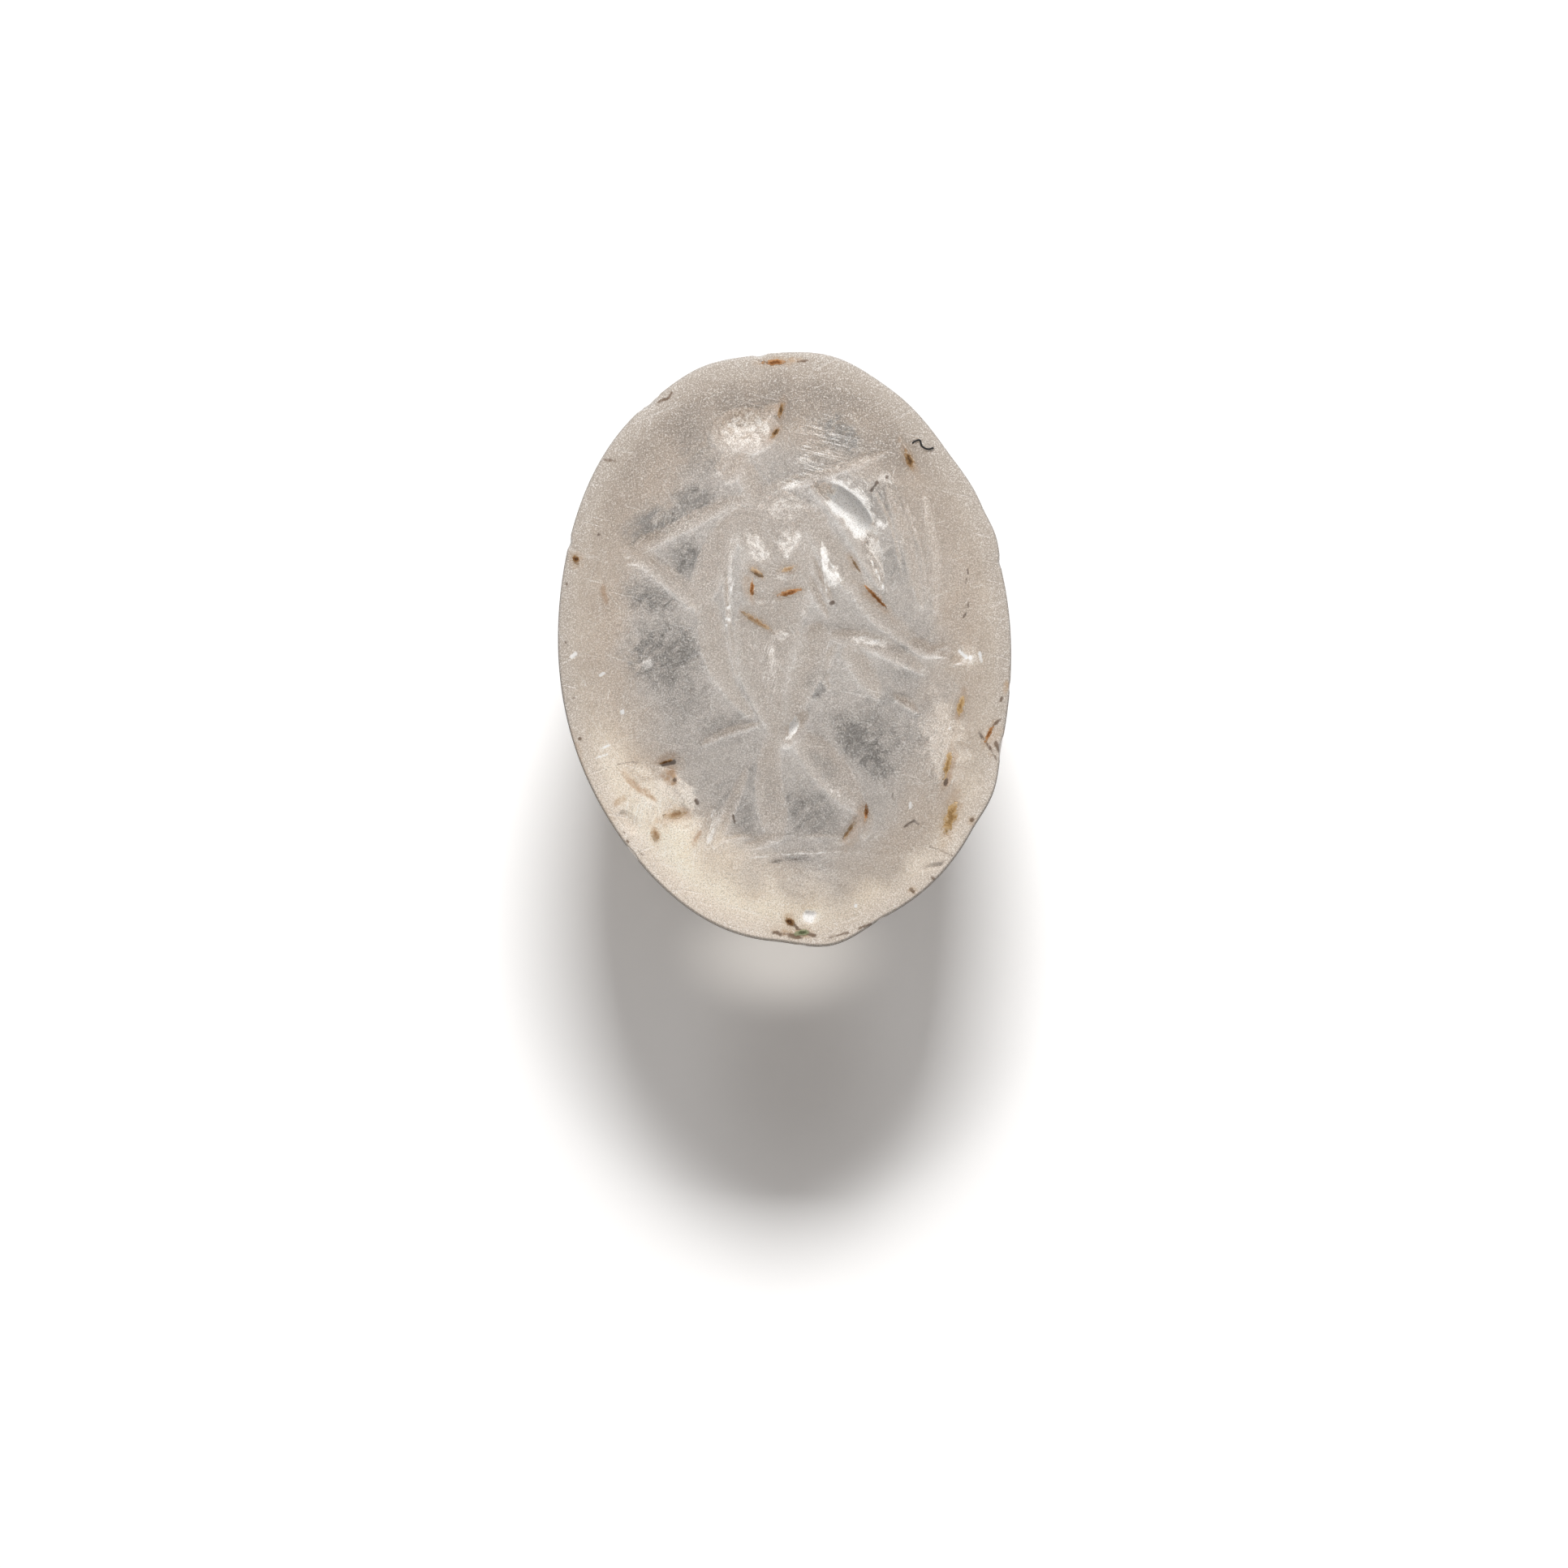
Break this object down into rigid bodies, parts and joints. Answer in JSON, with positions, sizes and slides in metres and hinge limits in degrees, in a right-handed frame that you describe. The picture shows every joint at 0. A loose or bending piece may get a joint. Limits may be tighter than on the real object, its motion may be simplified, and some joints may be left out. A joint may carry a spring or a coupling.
{
  "type": "engraved ring stone",
  "caption": "Oval rock crystal ring stone with a low domed face cut in intaglio with a standing figure, and walls drawing in to a flat back, earth left in its cuts.",
  "frame": {"origin": "centre of the flat back, where the stone beds in its ring", "axes": "+Z out of the engraved face, +Y to the figure's head, +X to the right as the face is seen"},
  "size_m": [0.0122, 0.016, 0.0052],
  "materials": {
    "rock_crystal": "translucent, worn polish with frosted cuts and veils",
    "earth_brown": "matt iron-brown earth",
    "earth_dark": "matt dark earth",
    "earth_ochre": "matt ochre earth",
    "copper_green": "matt green copper corrosion"
  },
  "bodies": {
    "root": {"crystal_stone": "rock_crystal", "earth_crest_upper": "earth_brown", "earth_crest_lower": "earth_brown", "earth_face_right": "earth_dark", "earth_rib_upper_left": "earth_brown", "earth_rib_upper_right": "earth_brown", "earth_rib_side": "earth_brown", "earth_rib_lower": "earth_brown", "earth_hip": "earth_ochre", "earth_arm_upper": "earth_ochre", "earth_arm_lower": "earth_brown", "earth_foot": "earth_brown", "earth_sole": "earth_brown", "earth_side_upper": "earth_ochre", "earth_side_middle": "earth_ochre", "earth_side_lower": "earth_ochre", "earth_scar_upper": "earth_dark", "earth_scar_lower": "earth_ochre", "earth_scar_side": "earth_ochre", "earth_left_edge": "earth_dark", "earth_top_edge": "earth_brown", "earth_right_chip": "earth_brown", "earth_bottom_chip": "earth_dark", "copper_bottom_chip": "copper_green"}
  },
  "joints": []
}
